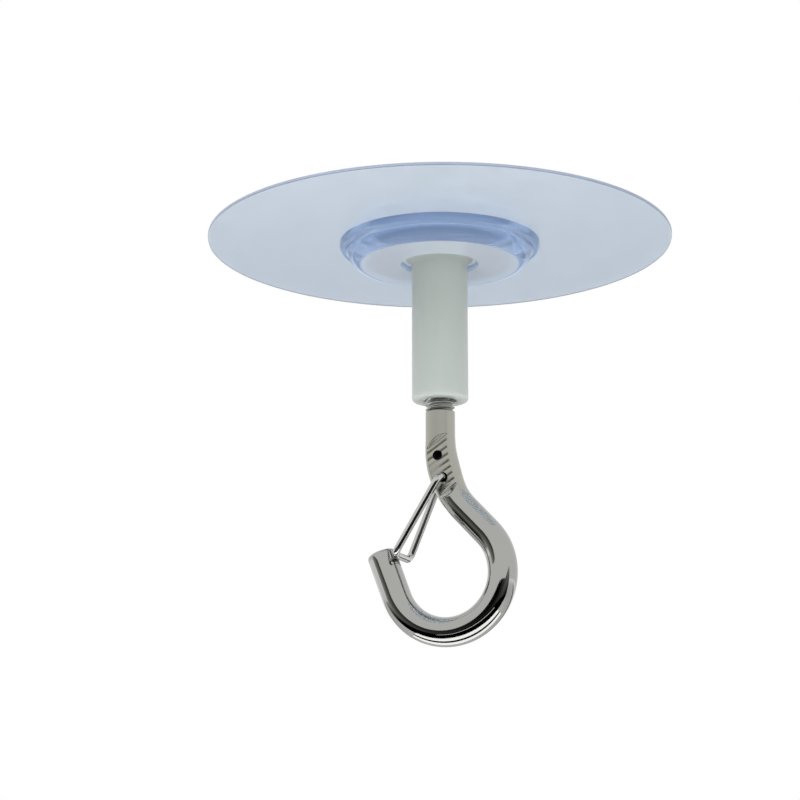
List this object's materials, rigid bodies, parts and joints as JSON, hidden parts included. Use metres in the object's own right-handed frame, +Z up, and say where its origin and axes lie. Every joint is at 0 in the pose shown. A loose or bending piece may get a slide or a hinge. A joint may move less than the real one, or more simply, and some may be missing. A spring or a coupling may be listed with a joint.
{
  "type": "ceiling hook",
  "caption": "Stick-on ceiling hook: clear round adhesive film with a moulded boss, a milky sleeve and a screwed-in polished steel hook closed by a sprung wire gate.",
  "frame": {"origin": "centre of the adhesive face that is stuck to the ceiling", "axes": "+Z up into the ceiling, the hook hanging towards -Z; the hook's ring lies in the XZ plane, with its nose and gate on the -X side"},
  "size_m": [0.08, 0.08, 0.0707],
  "materials": {
    "adhesive": "clear tacky gel",
    "clear_film": "clear, faintly blue, glossy",
    "clear_boss": "clear, blue, glossy",
    "milky_plastic": "milky, satin",
    "polished_steel": "polished",
    "spring_wire": "bright drawn wire"
  },
  "bodies": {
    "base": {"adhesive_pad": "adhesive", "film_disc": "clear_film", "clear_boss": "clear_boss", "pillar": "milky_plastic"},
    "hook": {"hook": "polished_steel"},
    "gate": {"gate_wire": "spring_wire"}
  },
  "joints": [
    {"name": "hook_turn", "type": "hinge", "parent": "base", "child": "hook", "pos_m": [0, 0, -0.0228], "axis": [0, 0, 1], "range_deg": [-180, 180]},
    {"name": "gate_swing", "type": "hinge", "parent": "hook", "child": "gate", "pos_m": [0.00101, 0, -0.04235], "axis": [0, -1, 0], "range_deg": [0, 35], "stiffness_Nm_per_rad": 0.03, "springref_deg": -17.19}
  ]
}
